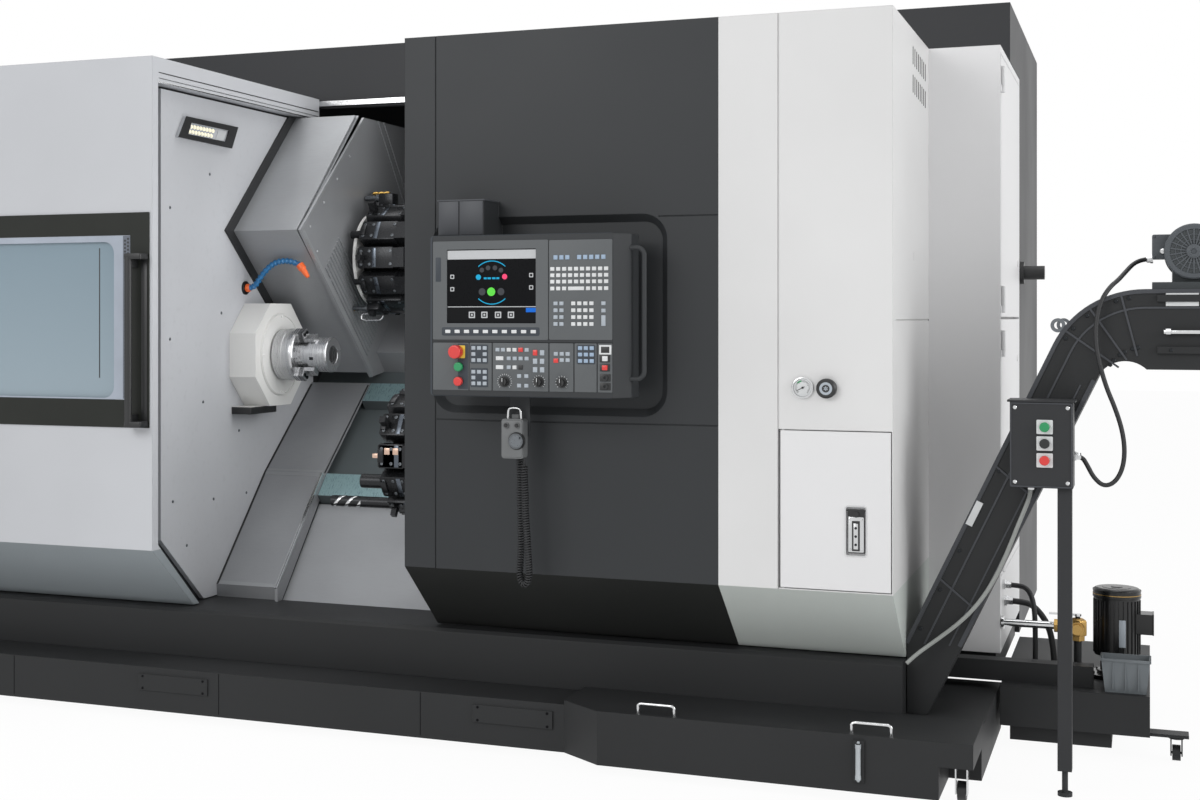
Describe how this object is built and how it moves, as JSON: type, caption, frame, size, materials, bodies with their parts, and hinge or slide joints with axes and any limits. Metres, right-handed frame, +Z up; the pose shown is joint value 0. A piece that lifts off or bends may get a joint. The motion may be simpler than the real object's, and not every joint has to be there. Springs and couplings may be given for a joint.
{
  "type": "slant-bed turning lathe",
  "caption": "Enclosed slant-bed turning lathe with sliding door, two tool turrets, chuck, swinging operator panel, inclined chip conveyor and coolant tank.",
  "frame": {"origin": "on the floor under the middle of the whole machine, conveyor and operator panel included", "axes": "+X to the operator's right along the spindle, +Y away from the operator, +Z up"},
  "size_m": [5.45, 3.233, 2.68],
  "materials": {
    "dark_paint": "satin powder coat",
    "black_paint": "satin powder coat",
    "white_paint": "satin powder coat",
    "grey_paint": "satin powder coat",
    "wall_paint": "satin powder coat",
    "machine_grey": "satin enamel",
    "sheet_steel": "brushed",
    "ground_steel": "ground",
    "tool_steel": "blackened",
    "bed_iron": "scraped and painted",
    "window_glass": "tinted laminate",
    "panel_plastic": "fine texture",
    "key_plastic": "membrane",
    "screen": "gloss",
    "black_plastic": "moulded",
    "red_plastic": "moulded",
    "green_plastic": "moulded",
    "bin_plastic": "moulded",
    "motor_paint": "satin enamel",
    "bright_steel": "plated",
    "brass": "cast",
    "cord_rubber": "smooth",
    "wheel_rubber": "smooth"
  },
  "bodies": {
    "machine": {"base_plinth": "black_paint", "leveling_feet": "tool_steel", "chip_tank": "black_paint", "slant_bed": "bed_iron", "chamber_covers": "sheet_steel", "chamber_wall": "wall_paint", "headstock": "white_paint", "coolant_hose": "black_plastic", "left_cover": "dark_paint", "front_cover": "dark_paint", "column_cover": "white_paint", "rear_housing": "dark_paint", "mist_port": "dark_paint", "rear_cabinet": "white_paint", "conveyor": "dark_paint", "conveyor_motor": "motor_paint", "control_box": "dark_paint", "motor_cable": "cord_rubber", "conduit": "cord_rubber", "coolant_tank": "black_paint", "coolant_pump": "motor_paint", "parts_bin": "bin_plastic"},
    "front_door": {"door_panel": "grey_paint", "door_glass": "window_glass", "door_handle": "bright_steel"},
    "spindle": {"chuck_body": "ground_steel", "workpiece": "ground_steel"},
    "jaw_1": {"chuck_jaw_1": "tool_steel"},
    "jaw_2": {"chuck_jaw_2": "tool_steel"},
    "jaw_3": {"chuck_jaw_3": "tool_steel"},
    "upper_carriage": {"upper_saddle": "sheet_steel"},
    "telescopic_cover": {"cover_stage": "sheet_steel"},
    "upper_cross_head": {"upper_head": "machine_grey"},
    "upper_tool_disc": {"upper_turret": "tool_steel"},
    "lower_carriage": {"lower_saddle": "machine_grey"},
    "lower_cross_head": {"lower_head": "machine_grey"},
    "lower_tool_disc": {"lower_turret": "tool_steel"},
    "operator_panel": {"panel_housing": "panel_plastic", "panel_screen": "screen", "panel_keys": "key_plastic", "pendant_body": "black_plastic", "pendant_cord": "cord_rubber"},
    "emergency_stop": {"e_stop": "red_plastic"},
    "cycle_start": {"start_button": "green_plastic"},
    "cycle_stop": {"stop_button": "red_plastic"},
    "knob_1": {"override_knob_1": "black_plastic"},
    "knob_2": {"override_knob_2": "black_plastic"},
    "knob_3": {"override_knob_3": "black_plastic"},
    "pulse_dial": {"pendant_dial": "bright_steel"},
    "side_access_door": {"access_door": "white_paint"},
    "side_access_latch": {"access_latch": "black_plastic"},
    "cabinet_lower_door": {"cabinet_door_low": "white_paint"},
    "cabinet_upper_door": {"cabinet_door_high": "white_paint"},
    "pressure_knob": {"regulator_knob": "black_plastic"},
    "conveyor_forward_button": {"conveyor_forward": "green_plastic"},
    "conveyor_stop_button": {"conveyor_stop": "red_plastic"},
    "conveyor_reverse_button": {"conveyor_reverse": "black_plastic"},
    "valve_handle": {"valve_lever": "red_plastic"},
    "caster_swivel": {"tank_caster_fork": "bright_steel"},
    "caster_roller": {"tank_caster_wheel": "wheel_rubber"}
  },
  "joints": [
    {"name": "door_slide", "type": "slide", "parent": "machine", "child": "front_door", "axis": [1, 0, 0], "range_m": [0, 1.02]},
    {"name": "spindle_spin", "type": "hinge", "parent": "machine", "child": "spindle", "pos_m": [-1.115, -0.5495, 1.33], "axis": [1, 0, 0], "continuous": true},
    {"name": "jaw_1_slide", "type": "slide", "parent": "spindle", "child": "jaw_1", "axis": [0, 1, 0], "range_m": [0, 0.006]},
    {"name": "jaw_2_slide", "type": "slide", "parent": "spindle", "child": "jaw_2", "axis": [0, -0.5, 0.866], "range_m": [0, 0.006]},
    {"name": "jaw_3_slide", "type": "slide", "parent": "spindle", "child": "jaw_3", "axis": [0, -0.5, -0.866], "range_m": [0, 0.006]},
    {"name": "upper_carriage_slide", "type": "slide", "parent": "machine", "child": "upper_carriage", "axis": [1, 0, 0], "range_m": [0, 0.54]},
    {"name": "telescopic_cover_slide", "type": "slide", "parent": "machine", "child": "telescopic_cover", "axis": [1, 0, 0], "range_m": [0, 0.27]},
    {"name": "upper_cross_slide", "type": "slide", "parent": "upper_carriage", "child": "upper_cross_head", "axis": [0, 0.7071, 0.7071], "range_m": [-0.15, 0.1]},
    {"name": "upper_disc_index", "type": "hinge", "parent": "upper_cross_head", "child": "upper_tool_disc", "pos_m": [-0.73, -0.14787, 1.73164], "axis": [1, 0, 0], "continuous": true},
    {"name": "lower_carriage_slide", "type": "slide", "parent": "machine", "child": "lower_carriage", "axis": [1, 0, 0], "range_m": [-0.3, 0.45]},
    {"name": "lower_cross_slide", "type": "slide", "parent": "lower_carriage", "child": "lower_cross_head", "axis": [0, 0.7656, 0.6434], "range_m": [-0.06, 0.15]},
    {"name": "lower_disc_index", "type": "hinge", "parent": "lower_cross_head", "child": "lower_tool_disc", "pos_m": [-0.3, -0.9035, 0.976], "axis": [1, 0, 0], "continuous": true},
    {"name": "panel_swing", "type": "hinge", "parent": "machine", "child": "operator_panel", "pos_m": [0.005, -1.4635, 1.77], "axis": [0, 0, -1], "range_deg": [0, 60]},
    {"name": "e_stop_push", "type": "slide", "parent": "operator_panel", "child": "emergency_stop", "axis": [0, 1, 0], "range_m": [0, 0.005], "stiffness_N_per_m": 1200},
    {"name": "start_push", "type": "slide", "parent": "operator_panel", "child": "cycle_start", "axis": [0, 1, 0], "range_m": [0, 0.005], "stiffness_N_per_m": 400},
    {"name": "stop_push", "type": "slide", "parent": "operator_panel", "child": "cycle_stop", "axis": [0, 1, 0], "range_m": [0, 0.005], "stiffness_N_per_m": 400},
    {"name": "knob_1_turn", "type": "hinge", "parent": "operator_panel", "child": "knob_1", "pos_m": [0.214, -1.5885, 1.273], "axis": [0, 1, 0], "range_deg": [-135, 135]},
    {"name": "knob_2_turn", "type": "hinge", "parent": "operator_panel", "child": "knob_2", "pos_m": [0.333, -1.5885, 1.274], "axis": [0, 1, 0], "range_deg": [-135, 135]},
    {"name": "knob_3_turn", "type": "hinge", "parent": "operator_panel", "child": "knob_3", "pos_m": [0.411, -1.5885, 1.273], "axis": [0, 1, 0], "range_deg": [-135, 135]},
    {"name": "pulse_dial_turn", "type": "hinge", "parent": "operator_panel", "child": "pulse_dial", "pos_m": [0.238, -1.5385, 1.077], "axis": [0, 1, 0], "continuous": true},
    {"name": "side_access_swing", "type": "hinge", "parent": "machine", "child": "side_access_door", "pos_m": [1.083, -1.3755, 0.875], "axis": [0, 0, -1], "range_deg": [0, 110]},
    {"name": "side_access_latch_lift", "type": "hinge", "parent": "side_access_door", "child": "side_access_latch", "pos_m": [1.312, -1.3785, 0.878], "axis": [-1, 0, 0], "range_deg": [0, 40], "stiffness_Nm_per_rad": 2},
    {"name": "cabinet_lower_swing", "type": "hinge", "parent": "machine", "child": "cabinet_lower_door", "pos_m": [1.6793, -0.4295, 0.9], "axis": [0, 0, -1], "range_deg": [0, 100]},
    {"name": "cabinet_upper_swing", "type": "hinge", "parent": "machine", "child": "cabinet_upper_door", "pos_m": [1.6793, -0.4295, 1.95], "axis": [0, 0, -1], "range_deg": [0, 100]},
    {"name": "pressure_knob_turn", "type": "hinge", "parent": "machine", "child": "pressure_knob", "pos_m": [1.2225, -1.3935, 1.259], "axis": [0, 1, 0], "range_deg": [-160, 160]},
    {"name": "conveyor_forward_push", "type": "slide", "parent": "machine", "child": "conveyor_forward_button", "axis": [0, 1, 0], "range_m": [0, 0.004], "stiffness_N_per_m": 400},
    {"name": "conveyor_stop_push", "type": "slide", "parent": "machine", "child": "conveyor_stop_button", "axis": [0, 1, 0], "range_m": [0, 0.004], "stiffness_N_per_m": 400},
    {"name": "conveyor_reverse_push", "type": "slide", "parent": "machine", "child": "conveyor_reverse_button", "axis": [0, 1, 0], "range_m": [0, 0.004], "stiffness_N_per_m": 400},
    {"name": "valve_turn", "type": "hinge", "parent": "machine", "child": "valve_handle", "pos_m": [1.93, -0.4535, 0.44], "axis": [0, 0, 1], "range_deg": [0, 90]},
    {"name": "caster_swivel_turn", "type": "hinge", "parent": "machine", "child": "caster_swivel", "pos_m": [1.63, -1.3735, 0.125], "axis": [0, 0, 1], "continuous": true},
    {"name": "caster_roll", "type": "hinge", "parent": "caster_swivel", "child": "caster_roller", "pos_m": [1.63, -1.3575, 0.03], "axis": [1, 0, 0], "continuous": true}
  ],
  "couplings": [
    {"joint": "jaw_2_slide", "follows": "jaw_1_slide", "ratio": 1},
    {"joint": "jaw_3_slide", "follows": "jaw_1_slide", "ratio": 1},
    {"joint": "telescopic_cover_slide", "follows": "upper_carriage_slide", "ratio": 0.5}
  ]
}
